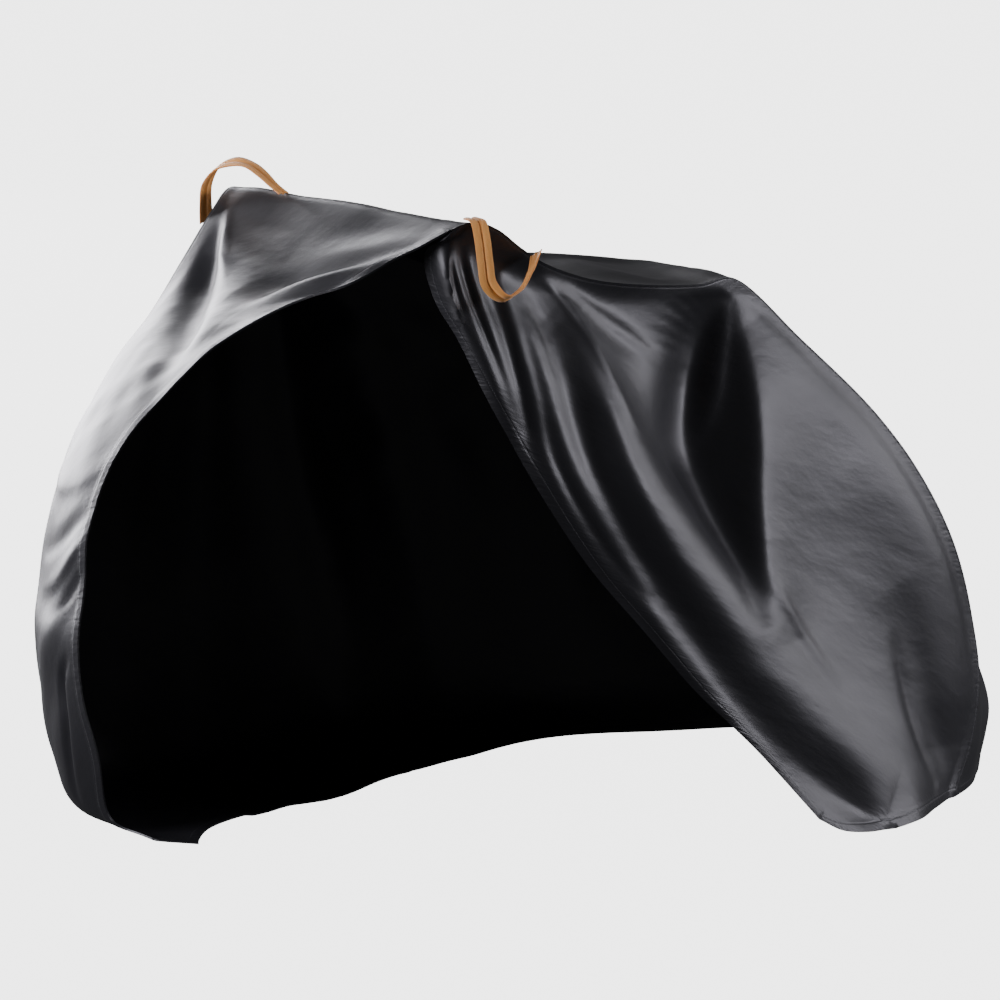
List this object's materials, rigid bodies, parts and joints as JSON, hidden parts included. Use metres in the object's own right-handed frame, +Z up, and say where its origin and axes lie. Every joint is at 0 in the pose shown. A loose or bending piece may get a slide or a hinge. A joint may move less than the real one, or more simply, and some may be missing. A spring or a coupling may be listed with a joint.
{
  "type": "bicycle cover",
  "caption": "Waterproof black cover draped over a pair of bicycles, near side lifted and bunched at the handlebar, with orange webbing loops",
  "frame": {"origin": "on the floor, under the middle of the cover", "axes": "+X from the front wheels to the rear wheels, +Y to the far side of the pair, +Z up"},
  "size_m": [1.832, 1.0414, 1.1574],
  "materials": {
    "black_cloth": "satin coated polyester",
    "orange_webbing": "woven webbing"
  },
  "bodies": {
    "root": {"centre_panel": "black_cloth", "near_panel": "black_cloth", "far_panel": "black_cloth", "near_loop": "orange_webbing", "far_loop": "orange_webbing"}
  },
  "joints": []
}
